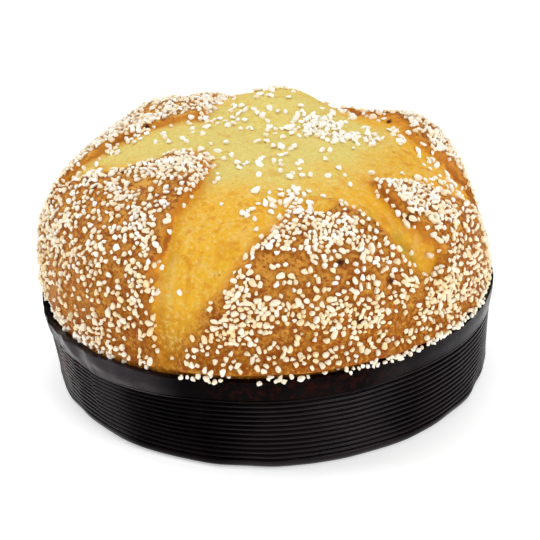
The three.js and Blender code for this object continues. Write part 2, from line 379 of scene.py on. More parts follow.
star = {"x": 18, "y": -8.5, "radius": 49, "soft": 3}

mouthHeight = case["height"] + case["clearance"]
mouthRadius = loafRadius(case["height"])
overhang = 50  # degrees of the profile's curve below its widest point
turnDown = np.linspace(0, 90 + overhang, 1401)
onTop = turnDown <= 90
angleTop = np.radians(np.minimum(turnDown, 90))
angleUnder = np.radians(np.maximum(turnDown - 90, 0) / overhang * 90)
wide, widest = dough["radius"], dough["widestHeight"]
profileR = np.where(
    onTop,
    wide * np.sin(angleTop) ** (2 / dough["across"]),
    mix(mouthRadius, wide, np.abs(np.cos(angleUnder)) ** (2 / dough["under"])),
)
profileZ = np.where(
    onTop,
    mix(widest, dough["height"], np.abs(np.cos(angleTop)) ** (2 / dough["up"])),
    mix(widest, mouthHeight, np.sin(angleUnder) ** (2 / dough["under"])),
)
profileD = np.concatenate([[0.0], np.cumsum(np.hypot(np.diff(profileR), np.diff(profileZ)))])
mouthDistance = profileD[-1]


def profileAt(distance):  # radius, height and outward direction of the plain dome
    r = np.interp(distance, profileD, profileR)
    z = np.interp(distance, profileD, profileZ)
    step = 0.8
    near = np.clip(distance - step, 0, mouthDistance)
    far = np.clip(distance + step, 0, mouthDistance)
    dr = np.interp(far, profileD, profileR) - np.interp(near, profileD, profileR)
    dz = np.interp(far, profileD, profileZ) - np.interp(near, profileD, profileZ)
    length = np.hypot(dr, dz)
    return r, z, -dz / length, dr / length


def outsideSlash(slash, distance, bearing, r):  # mm outside it, and degrees round from its middle
    away = turnFrom(bearing, np.interp(distance, slash["distance"], slash["bearing"]))
    return r * np.abs(np.radians(away)) - np.interp(distance, slash["distance"], slash["half"]), away


def ontoFlap(distance, bearing, r):  # mm onto a flap, negative off it, and the edge's softness
    x = r * np.cos(np.radians(bearing))
    y = r * np.sin(np.radians(bearing))
    onto = np.hypot(x - star["x"], y - star["y"]) - star["radius"]
    soft = np.full(onto.shape, star["soft"])
    for slash in slashes:
        outside, away = outsideSlash(slash, distance, bearing, r)
        lowSide, highSide = slash["soft"]
        side = mix(lowSide, highSide, fade(away, -4, 4))
        share = fade(onto - outside, -3, 3)
        soft = soft * (1 - share) + side * share
        onto = np.minimum(onto, outside)
    return onto, soft


def strands(distance, bearing):  # the open dough's stretch marks, which run down from the crown
    alongDough = np.stack([distance / 4, np.radians(bearing) * 85, 0 * distance], axis=-1)
    return fade(distance, 50, 80) * roughLumps(alongDough, 3.2, 30)


def crust(distance, bearing):  # points of the crust, how far onto a flap, the edge's softness
    r, z, outR, outZ = profileAt(distance)
    plain = onTurn(r, bearing, z)
    onto, soft = ontoFlap(distance, bearing, r)
    onto = onto + dough["ragged"] * (lumps(plain, 11, 3) + 0.6 * lumps(plain, 4, 4))
    lift = dough["flapLift"] * fade(onto, -soft, soft)
    curl = np.clip((3.4 - soft) / 1.4, 0, 1)  # only a sharp edge curls up
    lip = curl * hump(onto - dough["lipBack"], 3) * (1 + 0.7 * lumps(plain, 22, 12))
    lift += dough["lipLift"] * lip
    for slash in slashes:
        inside = fade(-outsideSlash(slash, distance, bearing, r)[0], -3, 7)
        lift -= slash["sunk"] * inside * fade(distance, 45, 80)
    for far, way, height, spread in swells:
        centreR, centreZ = np.interp(far, profileD, profileR), np.interp(far, profileD, profileZ)
        centre = onTurn(np.array(centreR), np.array(way), centreZ)
        lift += height * hump(np.linalg.norm(plain - centre, axis=-1), spread)
    x, y = plain[..., 0], plain[..., 1]
    lift += dough["waviness"] * np.sin(x / 17 + 1) * np.sin(y / 14) * np.sin(z / 19)
    # blistered skin on the flaps, stretched strands down the open dough
    flap = fade(onto, -1.5, 1.5)
    lift += flap * dough["blister"] * roughLumps(plain, 6, 20)
    lift += (1 - flap) * dough["streak"] * strands(distance, bearing)
    lift += (1 - flap) * dough["dimple"] * roughLumps(plain, 12, 35, 2)
    lift += dough["uneven"] * lumps(plain, 17, 41)
    # at the front the crust bulges out over the rim
    over = hump(turnFrom(bearing, dough["overBearing"]), dough["overSpread"])
    lift *= fade(z, mouthHeight, mouthHeight + 8 - 5.5 * over)
    brim = fade(z, mouthHeight, mouthHeight + 1.8) * hump(z - dough["overHeight"], 3.2)
    lift += dough["overOut"] * over * brim
    height = z + outZ * lift
    place = onTurn(r + outR * lift, bearing, height)
    place[..., 0] -= dough["leanLeft"] * fade(z, mouthHeight, dough["widestHeight"])
    return slumped(place), onto, soft


def gapTo(points, distance, bearing):  # from a place on the crust
    spot = crust(np.array([float(distance)]), np.array([float(bearing)]))[0][0]
    return np.linalg.norm(points - spot, axis=-1)


def hiddenSide():  # outline of the loaf below the rim, where the case has shaped it
    corner, slack = dough["dishCorner"], dough["slack"]
    underside = case["ply"] + case["clearance"]
    floor = 3 * case["clearance"] + 2 * case["ply"]
    cornerR = loafRadius(corner) - corner
    dish = case["flangeInner"] - case["clearance"] - 5
    side = [(0.3, underside), (dish, underside), (dish + 1, floor)]
    for degrees in (-90, -60, -30, 0):
        angle = math.radians(degrees)
        side.append((cornerR + corner * math.cos(angle), floor + corner + corner * math.sin(angle)))
    side += [(loafRadius(z) - slack, z) for z in reversed(case["hiddenRows"])]
    return np.array(side)


def nearNibs(points, nibPlaces):  # 1 close round a nib, where a contact shadow is painted
    tree = KDTree(len(nibPlaces))
    for i, place in enumerate(nibPlaces):
        tree.insert(place, i)
    tree.balance()
    gap = [tree.find(point)[2] for point in points]
    return 1 - fade(np.array(gap), 1.3, 3)


def loafPiece(material, nibPlaces):
    sides, rings = dough["sides"], dough["rings"]
    bearing = np.arange(sides) * 360 / sides
    distance = np.linspace(mouthDistance, 0, rings + 1)[:-1]
    allDistance, allBearing = distance[:, None] + 0 * bearing, bearing + 0 * distance[:, None]
    top, onto, soft = crust(allDistance, allBearing)
    crown, crownOnto, crownSoft = crust(np.array([0.0]), np.array([0.0]))
    side = hiddenSide()
    below = crumpled(slumped(onTurn(side[:, :1], bearing[None, :], side[:, 1:])))
    points = np.concatenate([below.reshape(-1, 3), top.reshape(-1, 3), crown])
    rows = len(side) + rings
    faces = ringFaces(rows, sides, closed=False)
    last, tip = (rows - 1) * sides, rows * sides
    faces += [(last + i, last + (i + 1) % sides, tip) for i in range(sides)]
    faces.append(tuple(range(sides - 1, -1, -1)))
    piece = newPiece("loaf_crust", points, faces, material)
    hidden = len(side) * sides

    def keep(name, shown, unseen, tipValue=0):
        keepMask(piece, name, np.concatenate([np.full(hidden, unseen), np.ravel(shown), [tipValue]]))

    keep("onto", onto, 20, crownOnto[0])
    keep("soft", soft, 3, crownSoft[0])
    keep("fromCrown", np.repeat(distance, sides), mouthDistance)
    keep("strand", strands(allDistance, allBearing), 0)
    # round each nib the crust gets a painted contact shadow, partly toasted crust
    near = nearNibs(points[hidden:], nibPlaces)
    keep("nibShadowAndToast", near[:-1], 0, near[-1])
    baked = np.concatenate([np.full(hidden, mouthDistance), np.repeat(distance, sides), [0.0]])
    for far, way, spread, change in toasts:
        baked = baked + change * hump(gapTo(points, far, way), spread)
    keepMask(piece, "baked", baked)
    shade, pit = np.zeros(len(points)), np.zeros(len(points))
    for far, way, spread, strength in shades:
        shade = np.maximum(shade, strength * hump(gapTo(points, far, way), spread))
    for far, way, size in pits:
        pit = np.maximum(pit, 1 - fade(gapTo(points, far, way), size * 0.4, size))
    keepMask(piece, "shade", shade)
    keepMask(piece, "pit", pit)
    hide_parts("loaf")


# darker and paler places: distance from the crown, bearing, spread, as if that much lower down
toasts = [
    (57, 24, 9, 48), (68, 20, 10, 30), (50, 34, 7, 35), (72, 0, 8, 22), (74, 238, 12, 26),
    (62, 232, 8, 20), (86, 180, 9, -40), (70, 178, 9, -32), (95, 186, 7, -40),
    (58, 185, 12, -22), (78, 187, 9, -22), (100, 283, 9, 15),
]
# painted greenish shadow in hollows: distance from the crown, bearing, spread, strength
shades = [(96, 307.5, 3.6, 0.5), (101, 307.5, 4, 0.7), (107, 309, 4.2, 0.55), (82, 303, 3.5, 0.3)]
# small burnt pits: distance from the crown, bearing, size
pits = [
    (100, 288, 2.4), (123.5, 291, 2.6), (111, 300, 2),
    (91, 313, 2.6), (55, 164, 2.2), (61, 16, 2),
]
crustLook = {
    "flapHigh": "dca64a",
    "flapMid": "ca8a36",
    "flapLow": "a2620e",
    "toasted": "884408",
    "glow": "d59c40",
    "tornEdge": "cf8226",
    "gold": "e2ac2e",
    "goldDeep": "d08a20",
    "pale": "d9c66e",
    "milky": "e2d594",
    "olive": "a87c20",
    "shadeOlive": "9c8426",
    "redBrown": "90380c",
    "tan": "c08048",
    "scorch": "7e3a0c",
    "pit": "3a0d06",
}
# size in mm, detail, roughness, seed, stretch
crustGrain = {
    "broad": (24, 2),
    "middle": (7, 4, 0.6),
    "fine": (1.7, 4, 0.65),
    "wavy": (9, 4, 0.6, 0.4, (1, 1, 2.6)),
    "pores": (1.1, 2, 0.5, 2),
    "fleck": (5, 3, 0.6, 5),
    "hue": (4, 3, 0.6, 7),
    "streak": (6, 4, 0.65, 9, (1, 1, 3)),
}
# what mottles the open dough and the flaps: grain, from, to, strength, colour
openMarks = [
    ("fine", 0.48, 0.36, 0.35, "milky"),
    ("fine", 0.54, 0.68, 0.35, "goldDeep"),
    ("pores", 0.62, 0.72, 0.6, "flapMid"),
]
flapMarks = [
    ("wavy", 0.5, 0.66, 0.85, "toasted"),
    ("middle", 0.46, 0.3, 0.5, "glow"),
    ("fine", 0.52, 0.62, 0.85, "toasted"),
    ("fine", 0.48, 0.38, 0.75, "glow"),
    ("hue", 0.54, 0.68, 0.3, "olive"),
    ("hue", 0.44, 0.32, 0.5, "tan"),
    ("streak", 0.53, 0.64, 0.7, "redBrown"),
]


def swing(tree, noise, amount):  # noise as a number each side of nought
    return times(tree, combine(tree, "SUBTRACT", noise, 0.5), amount)


def marked(tree, colour, grain, marks):
    for name, low, high, strength, mark in marks:
        share = between(tree, grain[name], low, high, 0, strength)
        colour = blend(tree, share, colour, crustLook[mark])
    return colour


def openColour(tree, grain, onto, fromCrown):  # pale on the crown, golden lower, deeper by the flaps, with painted highlight and shade along the strands
    strand = mask(tree, "strand")
    wander = plus(tree, swing(tree, grain["broad"], 50), swing(tree, grain["middle"], 30))
    down = plus(tree, mask(tree, "baked"), wander)
    colour = blend(tree, between(tree, down, 38, 74), crustLook["pale"], crustLook["gold"])
    # paler on the raised strands: partly the stretched skin's colour, partly painted highlight
    stretched = between(tree, strand, 0.3, 1.2, 0, 0.18)
    milk = plus(tree, stretched, between(tree, grain["middle"], 0.5, 0.75, 0, 0.3))
    colour = blend(tree, milk, colour, crustLook["milky"])
    colour = marked(tree, colour, grain, openMarks)
    lower = between(tree, fromCrown, 48, 70)
    fleck = times(tree, between(tree, grain["fleck"], 0.52, 0.66, 0, 0.7), lower)
    colour = blend(tree, fleck, colour, crustLook["goldDeep"])
    near = plus(tree, onto, swing(tree, grain["middle"], 9))
    deep = between(tree, near, -7, -1, 0, 0.5)
    # deeper gold in the grooves between strands: painted shade
    sunkenShade = between(tree, strand, -0.3, -0.9, 0, 0.4)
    blotch = plus(tree, between(tree, grain["middle"], 0.42, 0.3, 0, 0.4), sunkenShade)
    colour = blend(tree, combine(tree, "MAXIMUM", deep, blotch), colour, crustLook["goldDeep"])
    foot = between(tree, fromCrown, 112, 140, 0, 0.75)
    foot = times(tree, foot, between(tree, grain["fine"], 0.3, 0.6))
    return blend(tree, foot, colour, crustLook["flapLow"])


def flapColour(tree, grain):  # deeper brown towards the rim, mottled, toasted in wavy streaks, with a painted shadow round each nib
    bake = plus(tree, mask(tree, "baked"), swing(tree, grain["broad"], 46))
    colour = blend(tree, between(tree, bake, 58, 96), crustLook["flapHigh"], crustLook["flapMid"])
    colour = blend(tree, between(tree, bake, 98, 134), colour, crustLook["flapLow"])
    colour = marked(tree, colour, grain, flapMarks)
    # a painted contact shadow round each nib, partly toasted crust
    ring = times(tree, mask(tree, "nibShadowAndToast"), between(tree, grain["fine"], 0.3, 0.6, 0.3, 0.65))
    return blend(tree, ring, colour, crustLook["toasted"])


def crustMaterial():
    material, tree, shell = newMaterial("crust_baked")
    onto, soft, fromCrown = mask(tree, "onto"), mask(tree, "soft"), mask(tree, "fromCrown")
    grain = {name: grainNode(tree, *settings) for name, settings in crustGrain.items()}
    broad, middle, fine = grain["broad"], grain["middle"], grain["fine"]
    # the step from dough to flap, sharp or gradual
    edge = combine(tree, "DIVIDE", plus(tree, onto, swing(tree, middle, 5)), soft)
    edge = plus(tree, edge, swing(tree, fine, 0.9))
    openDough, flap = openColour(tree, grain, onto, fromCrown), flapColour(tree, grain)
    whole = blend(tree, between(tree, edge, -0.7, 0.7), openDough, flap)
    # torn golden along the step, and where it is crisp a dark line at its foot: partly scorch, partly
    # painted shadow under the flap's lip
    beyond = between(tree, edge, 0.3, 1.3, 1, 0)
    torn = times(tree, between(tree, edge, -1.1, -0.2), beyond)
    torn = times(tree, torn, between(tree, soft, 2, 4, 0.75, 0.2))
    torn = times(tree, torn, between(tree, fromCrown, 95, 125, 1, 0.15))
    whole = blend(tree, torn, whole, crustLook["tornEdge"])
    # painted shadow, partly scorch, in a thin dark line at the foot of a crisp flap edge
    beyond = between(tree, edge, 0.1, 0.6, 1, 0)
    scorchAndShadowLine = times(tree, between(tree, edge, -0.75, -0.3), beyond)
    scorchAndShadowLine = times(tree, scorchAndShadowLine, between(tree, broad, 0.4, 0.62, 0.1, 0.65))
    crisp = between(tree, soft, 1.9, 3.2, 1, 0)
    whole = blend(tree, times(tree, scorchAndShadowLine, crisp), whole, crustLook["scorch"])
    # a painted greenish shadow in the hollows of the right slash
    shade = times(tree, mask(tree, "shade"), between(tree, middle, 0.35, 0.55, 0.5, 1.2))
    whole = blend(tree, shade, whole, crustLook["shadeOlive"])
    # pin holes and burnt pits
    where = addNode(tree, "TexCoord", {}).outputs["Object"]
    spots = addNode(tree, "TexVoronoi", {"Vector": where, "Scale": 1 / (7 * mm)})
    hole = between(tree, spots.outputs["Distance"], 0.05, 0.13, 0.55, 0)
    hole = times(tree, hole, between(tree, middle, 0.5, 0.6))
    whole = blend(tree, hole, whole, crustLook["scorch"])
    whole = blend(tree, mask(tree, "pit"), whole, crustLook["pit"])
    looks = {
        "Base Color": whole,
        "Roughness": between(tree, fine, 0.3, 0.7, 0.5, 0.72),
        "Specular IOR Level": 0.12,
    }
    rough = plus(tree, grain["wavy"], times(tree, fine, 0.4))
    finishShell(tree, shell, looks, times(tree, rough, between(tree, edge, -1, 1, 0.4, 1)), 0.9)
    return material


sugar = {
    "least": 1.8,
    "most": 3.9,
    "broad": 1.12,  # breadth and thickness of a nib, as shares of its size
    "thick": (0.7, 0.95),
    "longer": (1, 1.15, 1.5),  # some are longer
    "longerShare": (0.62, 0.24, 0.14),
    "openLarger": 0.12,  # those on the open dough are larger
    "tries": 1.8,  # for each square millimetre of crust
    "tight": 0.8,  # closest spacing, as a share of the nibs' own size
    "heaped": 0.66,  # and where they are heaped
    "sunk": 0.26,
    "crownSunk": 0.2,
    "tilt": 19.2,
    "open": 0.03,  # cover on the open dough
    "crown": 0.07,
    "mostCover": 0.86,
    "shapes": 18,
    "cuts": 8,
    "seed": 7,
}
# nibs stuck over the rim at the front
fringe = {
    "from": 243,
    "to": 336,
    "count": 260,
    "most": 3.2,
    "above": 2.4,  # the rim
    "hang": 3,
    "sunk": 0.3,
    "tanned": 0.45,
    "clumps": 9,
}
flapCover = {"left": 0.48, "front": 0.5, "right": 0.52, "back_right": 0.5, "back_left": 0.56}
# mm over the edge of the flap
flapReach = {"left": 0.9, "front": 0, "right": 1.6, "back_right": 0.4, "back_left": 2.6}
flapEnds = [
    ("back_right", 78), ("back_left", 190), ("left", 247), ("front", 309), ("right", 350),
]
# thicker and thinner places: distance from the crown, bearing, spread, change in cover
drifts = [
    # back left flap
    (62, 160, 16, 0.25), (70, 172, 14, 0.2), (58, 142, 14, 0.2), (84, 178, 12, 0.1),
    # left flap
    (49, 231, 10, 0.3), (54, 218, 12, 0.2), (76, 216, 10, 0.12), (91, 202, 14, 0.08),
    (107, 206, 16, 0.05), (100, 217, 9, -0.2), (118, 219, 9, -0.22), (106, 238, 9, 0.15),
    (112, 231, 8, 0.1), (98, 233, 9, 0.3), (90, 236, 6, 0.2), (135, 226, 12, 0.12),
    (58, 240, 2.5, 0.4), (43, 240, 2.5, 0.4),
    # front flap
    (82, 273, 8, 0.35), (90, 274, 8, 0.25), (90, 288, 10, 0.3), (75, 282, 8, 0.25),
    (80, 296, 9, 0.2), (97, 269, 5, -0.3), (100, 279, 6, -0.3), (108, 274, 6, -0.2),
    (108, 287, 8, -0.15), (72, 264, 3.2, 0.75), (105, 293, 6, -0.15), (118, 268, 10, 0.12),
    (133, 277, 9, 0.15), (137, 262, 9, 0.15),
    # right flap
    (74, 320, 7, 0.3), (80, 333, 8, 0.3), (88, 324, 10, 0.3), (98, 326, 12, 0.15),
    (88, 317, 2.5, -0.3), (72, 318, 4, 0.4), (80, 316, 4, 0.5), (88, 315, 3.5, 0.55),
    (96, 317, 4, 0.5), (96, 322, 5, 0.3), (103, 316, 4, 0.3), (112, 322, 9, 0.1), (117, 311, 5, 0.5),
    # back right flap, and the right slash
    (66, 22, 7, 0.5), (70, 10, 6, 0.45), (80, 5, 6, 0.4), (64, 13, 4, -0.5), (74, 1, 4, -0.45),
    (84, 1, 4, -0.6), (94, 4, 4, -0.5), (61, 9, 3, 0.45), (62, 2, 4, 0.5), (68, 354, 5, 0.5),
    (76, 356, 5, 0.4), (84, 354, 5, 0.45), (88, 342, 8, 0.3), (100, 350, 9, 0.3), (60, 17, 3, 0.3),
    # crown
    (26, 2, 12, 0.4), (30, 30, 8, 0.35), (32, 14, 7, 0.45), (38, 350, 7, 0.6), (49, 352, 6, 0.55),
    (21, 34, 8, 0.35), (14, 112, 9, 0.25), (24, 130, 8, 0.3), (40, 80, 6, 0.6), (20, 343, 9, 0.3),
    (39, 284, 6, 0.45), (45, 290, 6, 0.35), (26, 297, 7, 0.3), (37, 254, 3.5, 0.7), (50, 246, 5, 0.2),
    # from the crown onto the front flap
    (63, 283, 5, 0.5), (68, 279, 5, 0.45), (67, 272, 5, 0.3), (57, 270, 6, 0.15), (58, 34, 8, 0.15),
    (47, 307, 4, 0.2), (59, 306, 4, 0.2), (70, 250, 4, -0.1), (93, 284, 5, 0.4), (90, 294, 6, 0.3),
    (97, 301, 4, 0.5), (84, 273, 4, 0.3), (92, 266, 4, 0.5), (82, 279, 4, 0.2), (81, 291, 4, 0.2),
    (96, 273, 5, -0.25), (101, 288, 5, -0.2), (101, 264, 6, 0.3), (110, 262, 6, 0.25),
    (122, 260, 7, 0.2),
    # low on the left and front flaps
    (104, 190, 12, 0.2), (115, 288, 9, 0.2), (118, 300, 9, 0.2), (127, 290, 10, 0.12),
    (113, 304, 7, 0.15), (100, 293, 5, 0.15),
]


def flapAt(bearing):
    bearing = bearing % 360
    for name, end in flapEnds:
        if bearing < end:
            return name
    return "back_right"


def coverAt(distance, bearing, place, onto, soft):  # share of the crust hidden by nibs
    names = [flapAt(b) for b in bearing]
    base = np.array([flapCover[n] for n in names])
    bare = mix(sugar["open"], sugar["crown"], 1 - fade(distance, 35, 60))
    reach = np.array([flapReach[n] for n in names]) * (1 + 0.8 * fade(distance, 62, 84))
    cover = mix(bare, base, fade(onto + reach, -1.5, 0.5 + soft))
    for far, way, spread, change in drifts:
        cover = cover + change * hump(gapTo(place, far, way), spread)
    cover = cover * (1 + 0.5 * lumps(place, 13, 50) + 0.55 * lumps(place, 5.5, 51))
    cover = cover + 0.12 * fade(onto, 2, 5) * (1 - fade(place[:, 2], 48, 56))
    # few stick under the bulge at the front
    under = fade(distance, mouthDistance - 6.5, mouthDistance - 3.5)
    under = under * hump(turnFrom(bearing, 274), 46)
    return np.clip(cover * (1 - 0.85 * under), 0, sugar["mostCover"]), names


def grainShapes(random):  # faceted lumps: a ball cut by random planes
    shapes = []
    for _ in range(sugar["shapes"]):
        ball = bmesh.new()
        bmesh.ops.create_icosphere(ball, subdivisions=2, radius=0.5)
        points = np.array([v.co for v in ball.verts])
        faces = np.array([[v.index for v in f.verts] for f in ball.faces])
        ball.free()
        for cut in range(sugar["cuts"]):
            way = random.normal(size=3)
            way /= np.linalg.norm(way)
            over = points @ way - (random.uniform(0.2, 0.28) if cut < 2 else random.uniform(0.27, 0.38))
            points = points - np.maximum(over, 0)[:, None] * way
        shapes.append((points, faces))
    return shapes


def thinOut(places, sizes, wanted, tight):  # drops any nib too close to one before it
    kept, cells = [], {}
    for i in wanted:
        cell = tuple((places[i] // sugar["most"]).astype(int))
        around = [tuple(c + d - 1 for c, d in zip(cell, step)) for step in np.ndindex(3, 3, 3)]
        near = [j for one in around for j in cells.get(one, ())]
        gaps = [tight[i] * (sizes[i] + sizes[j]) / 2 for j in near]
        if all(np.sum((places[i] - places[j]) ** 2) >= gap * gap for j, gap in zip(near, gaps)):
            kept.append(i)
            cells.setdefault(cell, []).append(i)
    return np.array(kept)


def outwardAt(distance, bearing):  # the crust's outward direction, bridging small bumps
    r = profileAt(distance)[0]
    reach = 1.2
    turn = np.degrees(reach / np.maximum(r, 2))
    down = crust(distance + reach, bearing)[0] - crust(np.maximum(distance - reach, 0), bearing)[0]
    across = crust(distance, bearing + turn)[0] - crust(distance, bearing - turn)[0]
    out = np.cross(down, across)
    return out / np.linalg.norm(out, axis=-1, keepdims=True)


def chanceFor(cover):  # how many of the tries to keep for that cover, as nibs crowd each other out
    disc = 0.62  # share of a nib's square that it hides
    jammed = 0.56  # cover at which no more fit
    area = 4  # of a nib, in square millimetres
    return disc * cover / (1 - disc * cover / jammed) ** 1.1 / area / sugar["tries"]


def crustNibs(random):
    bands = (profileR[1:] + profileR[:-1]) / 2 * np.diff(profileD)
    ring = np.concatenate([[0.0], np.cumsum(bands)])
    count = int(2 * np.pi * ring[-1] * sugar["tries"])
    distance = np.interp(random.uniform(0, ring[-1], count), ring, profileD)
    distance = np.minimum(distance, mouthDistance - 0.8)
    bearing = random.uniform(0, 360, count)
    place, onto, soft = crust(distance, bearing)
    cover, names = coverAt(distance, bearing, place, onto, soft)
    size = mix(sugar["least"], sugar["most"], random.beta(1.8, 2.9, count))
    size = size * (1 + sugar["openLarger"] * fade(onto, 0, -6))
    tight = mix(sugar["tight"], sugar["heaped"], fade(cover, 0.55, 0.85))
    lucky = np.flatnonzero(random.uniform(0, 1, count) < chanceFor(cover))
    kept = thinOut(place, size, lucky, tight)
    onFlap = fade(onto[kept], -12, 1)
    return (
        place[kept],
        outwardAt(distance[kept], bearing[kept]),
        size[kept],
        mix(sugar["crownSunk"], sugar["sunk"], onFlap),
        0.4 + 0.6 * onFlap * fade(place[kept][:, 2], 46, 54),
        [names[i] for i in kept],
    )


def fringeNibs(random):  # in clumps over the rim, which run together at the right
    count = fringe["count"]
    way = random.uniform(fringe["from"], fringe["to"], count)
    hang = fringe["hang"] * random.uniform(0, 1, count) ** 1.3
    height = case["height"] + fringe["above"] - hang * hump(turnFrom(way, 272), 52)
    over = hump(turnFrom(way, dough["overBearing"]), dough["overSpread"])
    place = slumped(onTurn(case["rimRadius"] - 1 + 1.6 * over, way, height))
    size = random.uniform(sugar["least"], fringe["most"], count)
    clump = lumps(onTurn(case["rimRadius"], way, 0), fringe["clumps"], 76)
    clump = clump + 0.9 * fade(way, 282, 298)
    kept = thinOut(place, size, np.flatnonzero(clump > -0.1), np.full(count, sugar["tight"]))
    out = onTurn(1 + 0 * way[kept], way[kept], 0.5)
    return (
        place[kept],
        out / np.linalg.norm(out, axis=-1, keepdims=True),
        size[kept],
        np.full(len(kept), fringe["sunk"]),
        np.full(len(kept), fringe["tanned"]),
        [flapAt(b) for b in way[kept]],
    )


def placeNibs(random):  # places, outward directions, sizes, how far sunk, how tanned, flaps
    onCrust, onRim = crustNibs(random), fringeNibs(random)
    joined = [np.concatenate(pair) for pair in zip(onCrust[:-1], onRim[:-1])]
    return (*joined, onCrust[-1] + onRim[-1])


def nibPieces(material, nibs, random):
    place, out, size, sunk, tanned, names = nibs
    shapes = grainShapes(random)
    groups = {name: ([], [], []) for name in flapCover}
    starts = {name: 0 for name in flapCover}
    for i, name in enumerate(names):
        points, faces = shapes[random.integers(len(shapes))]
        longer = random.choice(sugar["longer"], p=sugar["longerShare"])
        scale = size[i] * np.array([sugar["broad"] * longer, 1, random.uniform(*sugar["thick"])])
        tilt = math.radians(sugar["tilt"]) * random.normal(size=2)
        turn = Matrix.Rotation(tilt[0], 3, "X") @ Matrix.Rotation(tilt[1], 3, "Y")
        turn = turn @ Matrix.Rotation(random.uniform(0, 2 * math.pi), 3, "Z")
        stand = Vector((0, 0, 1)).rotation_difference(Vector(out[i])).to_matrix()
        turned = (points * scale) @ np.array(stand @ turn).T
        groups[name][0].append(turned + place[i] + out[i] * scale[2] * (0.42 - sunk[i]))
        groups[name][1].append(faces + starts[name])
        # the nibs lower down are tinted browner
        low = 1 - fade(place[i][2], 60, 113)
        brown = tanned[i] * (0.7 * random.uniform() + 0.36 * low)
        # and every nib is caramel where it meets the crust
        groups[name][2].append(brown - 0.12 + 0.6 * (1 - fade(points[:, 2], -0.3, 0.15)))
        starts[name] += len(points)
    made = {}
    for name, (points, faces, tint) in groups.items():
        points, faces = np.concatenate(points), np.concatenate(faces).tolist()
        piece = newPiece("sugar_nibs_" + name, points, faces, material, smooth=False)
        keepMask(piece, "tint", np.concatenate(tint))
        made[name] = piece
    print("nibs:", len(names), {n: names.count(n) for n in made})
    # each nib of the plain model is stood for by the piece on its own flap
    stoodFor = {name: [] for name in made}
    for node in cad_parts:
        if node.startswith("sugar_nib_"):
            low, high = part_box(node)
            way = math.degrees(math.atan2(low[1] + high[1], low[0] + high[0]))
            stoodFor[flapAt(way)].append(node)
    for name, nodes in stoodFor.items():
        if nodes:
            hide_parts(*nodes)


sugarLook = {
    "bright": (0.98, 0.96, 0.90),
    "white": (0.93, 0.82, 0.62),
    "cream": (0.88, 0.69, 0.38),
    "toasted": (0.72, 0.48, 0.20),
}


def sugarMaterial():
    material, tree, shell = newMaterial("pearl_sugar")
    tint = mask(tree, "tint")
    fine = grainNode(tree, 1, 3)
    colour = blend(tree, between(tree, tint, 0, 0.4), sugarLook["bright"], sugarLook["white"])
    colour = blend(tree, between(tree, tint, 0.35, 1), colour, sugarLook["cream"])
    colour = blend(tree, between(tree, tint, 0.96, 1.06, 0, 0.5), colour, sugarLook["toasted"])
    colour = blend(tree, between(tree, fine, 0.5, 0.8, 0, 0.35), colour, sugarLook["cream"])
    looks = {"Base Color": colour, "Roughness": 0.45, "Specular IOR Level": 0.35}
    finishShell(tree, shell, looks, fine, 0.15)
    return material


random = np.random.default_rng(sugar["seed"])
nibs = placeNibs(random)
loafPiece(crustMaterial(), nibs[0])
print("loaf made")
nibPieces(sugarMaterial(), nibs, random)
print("sugar made")


def arcPoints(centreR, centreZ, radius, first, last, steps):
    angles = np.radians(np.linspace(first, last, steps + 1))
    return [(centreR + radius * math.cos(a), centreZ + radius * math.sin(a)) for a in angles]


def towards(bearing, middle, near, far):  # 1 round about a bearing, 0 beyond far degrees from it
    return 1 - fade(np.abs(turnFrom(bearing, middle)), near, far)


# marks on the paper: bearing, whole within and gone beyond, and how strong or from what height
waxedPlaces = [(218, 8, 18, 0.7), (283, 14, 30, 0.9), (350, 30, 60, 0.65)]
cuffMarks = {
    "greasy": (262, 28, 40, 33, 36),
    "stain": (280, 14, 30, 34, 38),  # crumbs and grease at the front
    # where a grey-violet sheen is painted on the cuff beside the seam
    "sheenPatch": (224, 14, 26, 33, 36),
}
thinPlace = {"bearing": 202, "height": 26}  # reddish, where light comes through


def keepPaperMasks(piece, bearing, height):
    onCuff = {}
    for name, (middle, near, far, low, high) in cuffMarks.items():
        onCuff[name] = towards(bearing, middle, near, far) * fade(height, low, high)
    waxed = 0 * bearing
    for middle, near, far, strength in waxedPlaces:
        waxed = np.maximum(waxed, strength * towards(bearing, middle, near, far))
    keepMask(piece, "waxed", waxed * (1 - 0.9 * onCuff["greasy"]))  # butter dulls it
    keepMask(piece, "stain", onCuff["stain"])
    keepMask(piece, "sheenPatch", onCuff["sheenPatch"])
    level = 1 - fade(np.abs(height - thinPlace["height"]), 2, 19)
    keepMask(piece, "thin", towards(bearing, thinPlace["bearing"], 1, 14) * level)


def turnedSheet(name, outline, material, slot, nodes, groove=None):
    outline = np.array(outline)
    bearing = np.arange(case["sides"]) * 360 / case["sides"]
    groove = np.full(len(outline), case["backGroove"]) if groove is None else np.array(groove)
    flat = case["flattened"] * hump(turnFrom(bearing, case["flattenedAt"]), case["flattenedSpread"])
    pressed = case["fluteDepth"] * groove[:, None] * flat
    if slot != "case_paper":
        pressed = 0
    grid = crumpled(slumped(onTurn(outline[:, :1] + pressed, bearing[None, :], outline[:, 1:])))
    faces = ringFaces(len(outline), case["sides"], closed=True)
    piece = newPiece(name, grid.reshape(-1, 3), faces, material)
    keepMask(piece, "groove", np.repeat(groove, case["sides"]))
    keepPaperMasks(piece, bearing[None, :], outline[:, 1:])
    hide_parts(*nodes)


